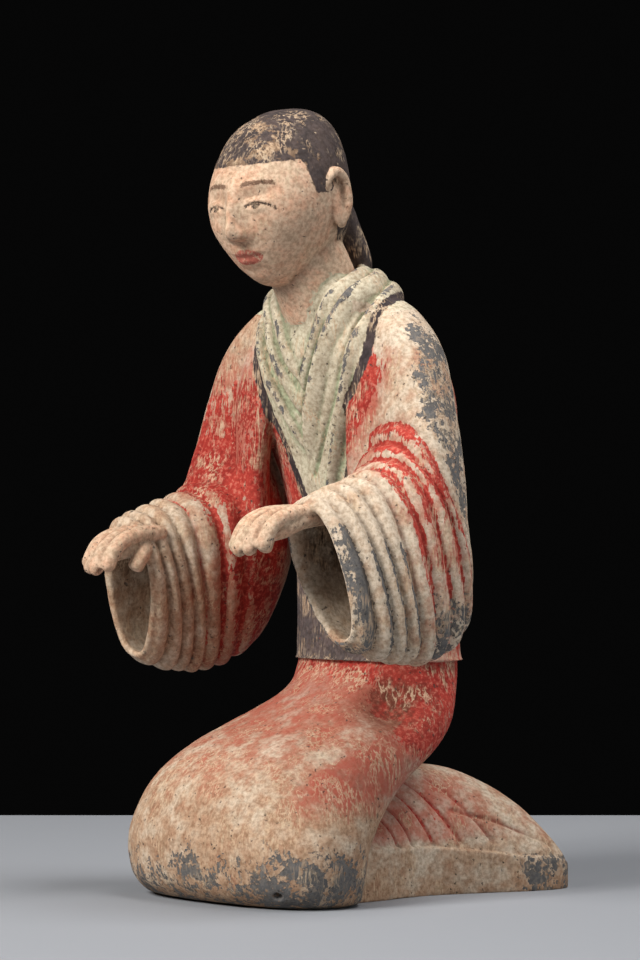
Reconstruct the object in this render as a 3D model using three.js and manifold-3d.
// A kneeling court lady in painted terracotta, moulded and fired as one piece.
// Millimetres, +Z up. She faces -Y, her left hand is on +X, and she kneels on Z = 0.

import * as THREE from "three";
import Module from "manifold-3d";

const wasm = await Module();
wasm.setup();

// Robe sections, from the hem of the upper garment to the neck: height, half width, half depth, centre y
const TORSO = [
  [116, 49, 32, 0],
  [122, 48, 31, 0],
  [165, 47, 30, -2],
  [205, 53, 31, -6],
  [240, 62, 33, -13],
  [264, 60, 32, -20],
  [281, 47, 27, -25],
  [293, 33, 22, -28],
  [301, 22, 17, -31],
];
const TORSO_ROUND = 2.4;

// Lap and knees under the skirt, from the waist to the ground: height, half width, half depth, centre y
const LAP = [
  [126, 44, 28, 0],
  [113, 47, 30, -1],
  [102, 50, 34, -7],
  [88, 57, 43, -22],
  [73, 64, 51, -44],
  [58, 69, 49, -63],
  [43, 73, 44, -75],
  [28, 75, 40, -82],
  [12, 73, 38, -82],
  [3, 69, 34, -79],
  [0, 63, 28, -76],
];
const LAP_ROUND = 2.5;
const VENT = { x: 57, z: 7, radius: 2, depth: 9, facing: 52 };

// Skirt laid over the lower legs and fanned out behind: y, half width on the ground, ridge height,
// side band height
const TRAIN = [
  [-82, 50, 34, 28],
  [-40, 47, 50, 28],
  [0, 40, 63, 26],
  [30, 45, 62, 23],
  [52, 51, 56, 20],
  [72, 53, 44, 18],
  [86, 46, 26, 14],
  [93, 32, 8, 6],
];
const TRAIN_STEP_IN = 0.95;
const TRAIN_STEP_DOWN = 2;
const TRAIN_ARCH = { flatness: 2.2, fullness: 0.8 };
const TRAIN_FOLDS = { count: 14, depth: 1.6, from: -45, start: [0, 40], end: [97, 80] };

// One sleeve from the shoulder to the mouth, on the left arm: the point on the front and top line of the arm,
// the point on the back and lower line of the hanging sleeve, and half the thickness between its two faces
const SLEEVE = [
  [26, -36, 291, 26, -12, 292, 8],
  [43, -41, 279, 45, -9, 279, 14],
  [56, -44, 263, 58, -8, 260, 18],
  [62, -46, 245, 67, -10, 234, 21],
  [66, -49, 228, 73, -10, 198, 25],
  [67, -57, 214, 77, -12, 160, 29],
  [69, -73, 206, 85, -20, 131, 27],
  [71, -87, 202, 91, -42, 119, 23],
  [71, -97, 198, 92, -68, 120, 22],
  [70, -104, 195, 90, -90, 126, 20],
];
const SLEEVE_ROUND = 0.8;
const SLEEVE_TAPER = 0.15;
const PLEATS = { count: 10, from: 0.36, crowding: 1.3, depth: 2.8, top: 0.4, fade: 2.5, level: 0.6 };
const HOLLOW = { from: 0.68, wall: 5, narrowing: 9, overrun: 6 };
const RIGHT_ARM_DROP = 11;
const RIGHT_ARM_OUT = 6;
const RIGHT_SLEEVE_TRAIL = 5;

// Left hand, palm down with long drooping fingers: the palm and thumb from the wrist, and y and z along a finger
const WRIST = [70, -102, 189];
const RIGHT_HAND_BACK = 9;
const PALM = [[3, 34, 4], [0, 0, 0], [-1, -11, -3], [-2, -27, -9]];
const PALM_HALF_WIDTH = 12;
const PALM_FLATNESS = 0.55;
const FINGER = [[-2, 2.5], [-18, -1], [-30, -8], [-35, -20]];
const FINGER_RADIUS = 3.9;
const FINGER_SPACING = 6;
const FINGER_REACH = [0.92, 1, 0.97, 0.86];
const THUMB = [[-7, -4, -2], [-12, -10, -9], [-11, -15, -18]];

// Rolled collars, from the nape over the left shoulder and down the chest: the half width, the points at
// the nape and over the shoulder, then x and z on the chest, where the left side crosses over the right
const COLLARS = [
  { half: 7, nape: [0, -14, 309], over: [22, -24, 307], chest: [[21, 289], [9, 268], [-7, 246]] },
  { half: 8, nape: [0, -8, 301], over: [29, -21, 300], chest: [[30, 280], [21, 250], [8, 215], [-4, 182]] },
  { half: 4, nape: [0, -3, 295], over: [36, -20, 294], chest: [[45, 277], [40, 250], [22, 207], [4, 160]] },
];
const COLLAR_FLATNESS = 0.42;
const BREAST = [0, -24, 250];
const BREAST_TILT = 0.4;

// Head, before it is bowed, leant and turned, with the face's touches of relief: x, z, half width, half height
// and rise
const HEAD = { wide: 32.6, deep: 37.6, high: 42.7, boxiness: 0.86, jawTaper: 0.3, crownBack: 13.5, curve: 1.6 };
const HEAD_CENTRE = [-3, -60.4, 342.6];
const HEAD_POSE = { bow: 6, lean: -3, turn: 16 };
const HAIR = { rise: 1.5, line: 24, temple: 23.5, sideburn: -2, nape: -30, edge: 1.5 };
const EAR = [[31, 0, 8], [34.5, 5, 3], [33.5, 5, -8], [30, 1, -16]];
const EAR_HALF = 5;
const NECK = [[0, -30, 280], [0, -41, 305], [-3, -57, 335]];
const NECK_RADIUS = 19;
const TRESS = [[-7, -38, 366], [-5, -26, 342], [-2, -20, 325], [0, -16, 312], [0, -13, 288]];
const TRESS_HALF = 15;
const FLATNESS = 0.55;
const FACE = [
  [0, -7, 4, 12, 5],
  [0, -16, 5, 4.5, 4],
  [5.5, -17, 3, 3, 1.6],
  [10, 2, 6, 5, -2.8],
  [14.5, -1, 7, 3.2, 1.8],
  [14, 8.5, 9, 2.5, 1.1],
  [0, -26.5, 8, 2, 1.6],
  [0, -31, 6.5, 2.2, 1.5],
  [0, -28.6, 9, 1, -1.2],
  [0, -35, 8, 2.2, -1],
  [0, -40, 8, 5, 1.8],
  [19, -13, 9, 9, 1.5],
];

const steps = (n) => Array.from({ length: n }, (_, i) => i);
const { clamp, degToRad, lerp, smoothstep } = THREE.MathUtils;
const ease = (a, b, v) => (a < b ? smoothstep(v, a, b) : 1 - smoothstep(v, b, a));
const point = (x, y, z) => new THREE.Vector3(x, y, z);
const join = (solids) => solids.reduce((all, next) => all.add(next));

// Evenly spaced spline through the rows of a table, t from 0 to 1
function along(rows, t) {
  const last = rows.length - 1;
  const at = clamp(t, 0, 1) * last;
  const i = Math.min(Math.floor(at), last - 1);
  const f = at - i;
  const [a, b, c, d] = [i - 1, i, i + 1, i + 2].map((k) => rows[clamp(k, 0, last)]);
  return b.map((_, k) => {
    const slope = (c[k] - a[k]) / 2;
    const next = (d[k] - b[k]) / 2;
    const rise = c[k] - b[k];
    return b[k] + f * (slope + f * (3 * rise - 2 * slope - next + f * (slope + next - 2 * rise)));
  });
}

// A ring of points round a rounded rectangle
function roundedRing(count, wide, deep, round, place) {
  const bend = (v) => Math.sign(v) * Math.abs(v) ** (2 / round);
  return steps(count).map((i) => {
    const turn = (2 * Math.PI * i) / count;
    return place(wide * bend(Math.cos(turn)), deep * bend(Math.sin(turn)));
  });
}

// A solid from points and triangles, whichever way round they were listed
function solid(points, faces) {
  const vertProperties = new Float32Array(points.flatMap((p) => [p.x, p.y, p.z]));
  const make = (triVerts) =>
    new wasm.Manifold(new wasm.Mesh({ numProp: 3, vertProperties, triVerts: new Uint32Array(triVerts) }));
  const made = make(faces);
  return made.volume() > 0 ? made : make(faces.toReversed());
}

// A closed skin through rings of equal length, with both ends capped from their middles
function loft(rings) {
  const count = rings[0].length;
  const points = rings.flat();
  const middle = (ring) => ring.reduce((sum, p) => sum.add(p), point(0, 0, 0)).divideScalar(count);
  const first = points.push(middle(rings[0])) - 1;
  const final = points.push(middle(rings.at(-1))) - 1;
  const top = (rings.length - 1) * count;
  const faces = [];
  for (let j = 0; j < count; j++) {
    const k = (j + 1) % count;
    faces.push(first, k, j, final, top + j, top + k);
    for (let r = 0; r < top; r += count) {
      faces.push(r + j, r + k, r + count + k, r + j, r + count + k, r + count + j);
    }
  }
  return solid(points, faces);
}

// A bar along a smooth route, with round ends: half width, how flat it is, and the way its flat side faces
function bar(route, half, flat, facing, rings, sides) {
  const endLength = 0.25;
  const endSize = 0.25;
  const curve = new THREE.CatmullRomCurve3(route);
  return loft(
    steps(rings + 1).map((i) => {
      const t = i / rings;
      const ahead = curve.getTangentAt(t);
      const up = facing(curve.getPointAt(t)).projectOnPlane(ahead).normalize();
      const across = point(0, 0, 0).crossVectors(ahead, up);
      const size = half * Math.sqrt(Math.max(endSize, Math.min(1, t / endLength, (1 - t) / endLength)));
      return roundedRing(sides, size, size * flat, 2, (a, b) =>
        curve.getPointAt(t).addScaledVector(across, a).addScaledVector(up, b),
      );
    }),
  );
}

function torso() {
  const levels = 13;
  const sides = 22;
  return loft(
    steps(levels + 1).map((i) => {
      const [z, wide, deep, y] = along(TORSO, i / levels);
      return roundedRing(sides, wide, deep, TORSO_ROUND, (a, b) => point(a, y + b, z));
    }),
  );
}

// The front of a lofted body at a height and a distance from the middle
function frontOf(rows, round, x, z) {
  const rising = rows.at(-1)[0] > rows[0][0];
  let [low, high] = [0, 1];
  for (const _ of steps(24)) {
    const t = (low + high) / 2;
    [low, high] = along(rows, t)[0] < z === rising ? [t, high] : [low, t];
  }
  const [, wide, deep, y] = along(rows, low);
  const share = Math.min(Math.abs(x) / wide, 1) ** round;
  return point(x, y - deep * (1 - share) ** (1 / round), z);
}

// Both sides of a rolled collar; the right side ends sooner, under the left
function collar({ half, nape, over, chest }) {
  const outward = (p) => p.clone().sub(point(...BREAST)).multiply(point(1, 1, BREAST_TILT));
  return join(
    [1, -1].map((side) => {
      const shown = side > 0 ? chest : chest.slice(0, -1);
      const down = shown.map(([x, z]) => frontOf(TORSO, TORSO_ROUND, side * x, z));
      const route = [point(...nape), point(side * over[0], over[1], over[2]), ...down];
      return bar(route, half, COLLAR_FLATNESS, outward, 9, 6);
    }),
  );
}

function lap() {
  const levels = 15;
  const sides = 26;
  return loft(
    steps(levels + 1).map((i) => {
      const [z, wide, deep, y] = along(LAP, i / levels);
      return roundedRing(sides, wide, deep, LAP_ROUND, (a, b) => point(a, y + b, Math.max(z, 0)));
    }),
  );
}

// The laid skirt: a flat sole, an upright side band, and over it a dome with folds that fan out from the seat
function train() {
  const stations = 17;
  const half = 9;
  return loft(
    steps(stations + 1).map((i) => {
      const [y, wide, high, band] = along(TRAIN, i / stations);
      const dome = steps(2 * half + 1).map((k) => {
        const side = k / half - 1;
        const x = wide * TRAIN_STEP_IN * side;
        const arch = (1 - Math.abs(side) ** TRAIN_ARCH.flatness) ** TRAIN_ARCH.fullness;
        const shown = arch * ease(...TRAIN_FOLDS.start, y) * ease(...TRAIN_FOLDS.end, y);
        const fan = Math.atan2(x, y - TRAIN_FOLDS.from) * TRAIN_FOLDS.count;
        return point(x, y, band + (high - band) * arch + TRAIN_FOLDS.depth * Math.sin(fan) * shown);
      });
      const foot = band - TRAIN_STEP_DOWN;
      return [point(-wide, y, 0), point(-wide, y, foot), ...dome, point(wide, y, foot), point(wide, y, 0)];
    }),
  );
}

// Lines of a sleeve at s, from 0 at the shoulder to 1 at the mouth
function sleeveLine(s, side) {
  const [ix, iy, iz, ox, oy, oz, thick] = along(SLEEVE, s);
  const [drop, trail, out] = side < 0 ? [RIGHT_ARM_DROP, RIGHT_SLEEVE_TRAIL, RIGHT_ARM_OUT] : [0, 0, 0];
  const aside = out * ease(0, 0.25, s) * ease(0.6, 0.4, s);
  const front = point(side * (ix + aside), iy, iz - drop * ease(0.1, 0.65, s));
  const back = point(side * (ox + aside), oy + trail * ease(0.3, 0.55, s), oz - drop * ease(0.4, 1, s));
  return { front, back, thick };
}

// A ring of the sleeve, drawn in by inset and swollen by its pleats
function sleeveRing(s, side, count, inset, swell) {
  const { front, back, thick } = sleeveLine(s, side);
  const middle = front.clone().lerp(back, 0.5);
  const reach = back.clone().sub(front).divideScalar(2);
  const before = sleeveLine(s - 0.02, side);
  const after = sleeveLine(s + 0.02, side);
  const ahead = after.front.add(after.back).sub(before.front).sub(before.back);
  const across = point(0, 0, 0).crossVectors(ahead, reach).normalize();
  const length = reach.length() - inset;
  const lengthwise = reach.normalize();
  return steps(count).map((i) => {
    const turn = (2 * Math.PI * i) / count;
    const low = -Math.cos(turn);
    const bulge = swell * lerp(PLEATS.top, 1, (1 + low) / 2);
    const aside = Math.sign(Math.sin(turn)) * Math.abs(Math.sin(turn)) ** SLEEVE_ROUND;
    const spread = (thick - inset + bulge) * (1 - SLEEVE_TAPER * low) * aside;
    return middle
      .clone()
      .addScaledVector(lengthwise, low * (length + bulge))
      .addScaledVector(across, spread);
  });
}

// Rounded pleats run round the sleeve, closer together towards its mouth
function sleeve(side) {
  const perPleat = 3;
  const sides = 13;
  const plainRings = 5;
  const plain = steps(plainRings).map((i) => sleeveRing((PLEATS.from * i) / plainRings, side, sides, 0, 0));
  const pleated = steps(PLEATS.count * perPleat + 1).map((i) => {
    const phase = i / perPleat;
    const s = lerp(PLEATS.from, 1, (phase / PLEATS.count) ** (1 / PLEATS.crowding));
    const roll = Math.sqrt(1 - (2 * (phase % 1) - 1) ** 2);
    return sleeveRing(s, side, sides, 0, PLEATS.depth * (roll - PLEATS.level) * ease(0, PLEATS.fade, phase));
  });
  return loft([...plain, ...pleated]);
}

// The hollow that runs back into a sleeve from its mouth
function sleeveHollow(side) {
  const depth = 5;
  const sides = 11;
  return loft(
    steps(depth + 1).map((i) => {
      const s = lerp(HOLLOW.from, 1, i / depth);
      const ring = sleeveRing(s, side, sides, HOLLOW.wall + HOLLOW.narrowing * (1 - i / depth), 0);
      const overrun = point(0, i === depth ? -HOLLOW.overrun : 0, 0);
      return ring.map((p) => p.add(overrun));
    }),
  );
}

// A hand that leaves the sleeve palm down: wrist and palm, four fingers side by side and a thumb below
function hand(side) {
  const [back, drop] = side < 0 ? [RIGHT_HAND_BACK, RIGHT_ARM_DROP] : [0, 0];
  const at = (x, y, z) => point(side * (WRIST[0] + x), WRIST[1] + y + back, WRIST[2] + z - drop);
  const upward = () => point(0, -0.5, 1);
  const route = (rows) => rows.map((p) => at(...p));
  const middle = (FINGER_REACH.length - 1) / 2;
  const fingers = FINGER_REACH.map((reach, i) => {
    const x = (i - middle) * FINGER_SPACING + PALM.at(-1)[0];
    return bar(route(FINGER.map(([y, z]) => [x, y * reach, z * reach])), FINGER_RADIUS, 1, upward, 6, 6);
  });
  const thumb = bar(route(THUMB), FINGER_RADIUS, 1, upward, 6, 6);
  return join([bar(route(PALM), PALM_HALF_WIDTH, PALM_FLATNESS, upward, 7, 9), ...fingers, thumb]);
}

// How far the hair stands over the skin at a place on the head: a straight front edge and square temples
function hairCover(x, y, z) {
  const temple = ease(HAIR.temple - HAIR.edge, HAIR.temple + HAIR.edge, Math.abs(x));
  const line = lerp(HAIR.line, y > 0 ? HAIR.nape : HAIR.sideburn, temple);
  return ease(line - HAIR.edge, line + HAIR.edge, z);
}

// The head's skin over a globe of directions, closer together towards the face
function head() {
  const rows = 20;
  const columns = 26;
  const crowding = 0.45;
  const ring = (j) => {
    const rise = Math.PI * ((j + 0.5) / rows - 0.5);
    return steps(columns).map((i) => {
      const even = (2 * Math.PI * i) / columns - Math.PI;
      const turn = even - crowding * Math.sin(even);
      const z = HEAD.high * Math.sin(rise);
      const jaw = 1 - HEAD.jawTaper * Math.max(0, -z / HEAD.high) ** HEAD.curve;
      const crown = HEAD.crownBack * Math.max(0, z / HEAD.high) ** HEAD.curve;
      const out = Math.cos(rise) ** HEAD.boxiness;
      const x = HEAD.wide * out * Math.sin(turn) * jaw;
      const y = -HEAD.deep * out * Math.cos(turn);
      const cover = 1 + (HAIR.rise * hairCover(x, y, z)) / HEAD.wide;
      const front = ease(0, 0.5, -y / HEAD.deep);
      return posed(x * cover, (y + crown) * cover - front * faceRelief(x, z), z * cover);
    });
  };
  return loft(steps(rows).map(ring));
}

// Height of the face's relief, the same on both halves
function faceRelief(x, z) {
  const touch = ([cx, cz, wide, high, rise]) =>
    rise * Math.exp(-(((Math.abs(x) - cx) / wide) ** 2) - ((z - cz) / high) ** 2);
  return FACE.map(touch).reduce((sum, v) => sum + v);
}

// A point of the head where it sits on the figure
function posed(x, y, z) {
  const { bow, lean, turn } = HEAD_POSE;
  const pose = new THREE.Euler(degToRad(bow), degToRad(lean), degToRad(turn), "ZYX");
  return point(x, y, z).applyEuler(pose).add(point(...HEAD_CENTRE));
}

function ear(side) {
  const route = EAR.map(([x, y, z]) => posed(side * x, y, z));
  return bar(route, EAR_HALF, FLATNESS, () => point(side, 0.35, 0), 7, 7);
}

// Neck, and the hair that falls straight from the back of the head to the collar
function neckAndHair() {
  const back = () => point(0, 1, 0.3);
  const route = (rows) => rows.map((p) => point(...p));
  const neck = bar(route(NECK), NECK_RADIUS, 1, back, 4, 16);
  return join([neck, bar(route(TRESS), TRESS_HALF, FLATNESS, back, 10, 12)]);
}

// The small hole that let the air out in the kiln, at the left knee
function vent() {
  const mouth = frontOf(LAP, LAP_ROUND, VENT.x, VENT.z);
  const facing = degToRad(VENT.facing);
  const outward = point(Math.cos(facing), -Math.sin(facing), 0);
  const aside = point(Math.sin(facing), Math.cos(facing), 0);
  return loft(
    [VENT.depth, -VENT.depth].map((reach) =>
      roundedRing(8, VENT.radius, VENT.radius, 2, (a, b) =>
        mouth.clone().addScaledVector(outward, reach).addScaledVector(aside, a).add(point(0, 0, b)),
      ),
    ),
  );
}

function build() {
  const sides = [1, -1];
  const robe = join([torso(), lap(), train(), ...sides.map(sleeve)]);
  const hollowed = robe.subtract(join([...sides.map(sleeveHollow), vent()]));
  const hands = sides.map(hand);
  const ears = sides.map(ear);
  return join([hollowed, ...hands, ...COLLARS.map(collar), neckAndHair(), head(), ...ears]);
}

function mesh(name, body, material) {
  const { vertProperties, triVerts } = body.getMesh();
  const geometry = new THREE.BufferGeometry()
    .setAttribute("position", new THREE.BufferAttribute(vertProperties, 3))
    .setIndex(new THREE.BufferAttribute(triVerts, 1));
  const made = new THREE.Mesh(geometry, material);
  made.name = name;
  return made;
}

// The figure stands with its underside on the ground and its middle over the origin
function centred(made) {
  const middle = new THREE.Box3().setFromObject(made).getCenter(point(0, 0, 0));
  made.position.set(-middle.x, -middle.y, 0);
  return made;
}

const terracotta = new THREE.MeshStandardMaterial({ color: 0xb07c63, roughness: 0.9, metalness: 0 });
const figure = new THREE.Group();
figure.add(centred(mesh("court_lady", build(), terracotta)));

export default figure;
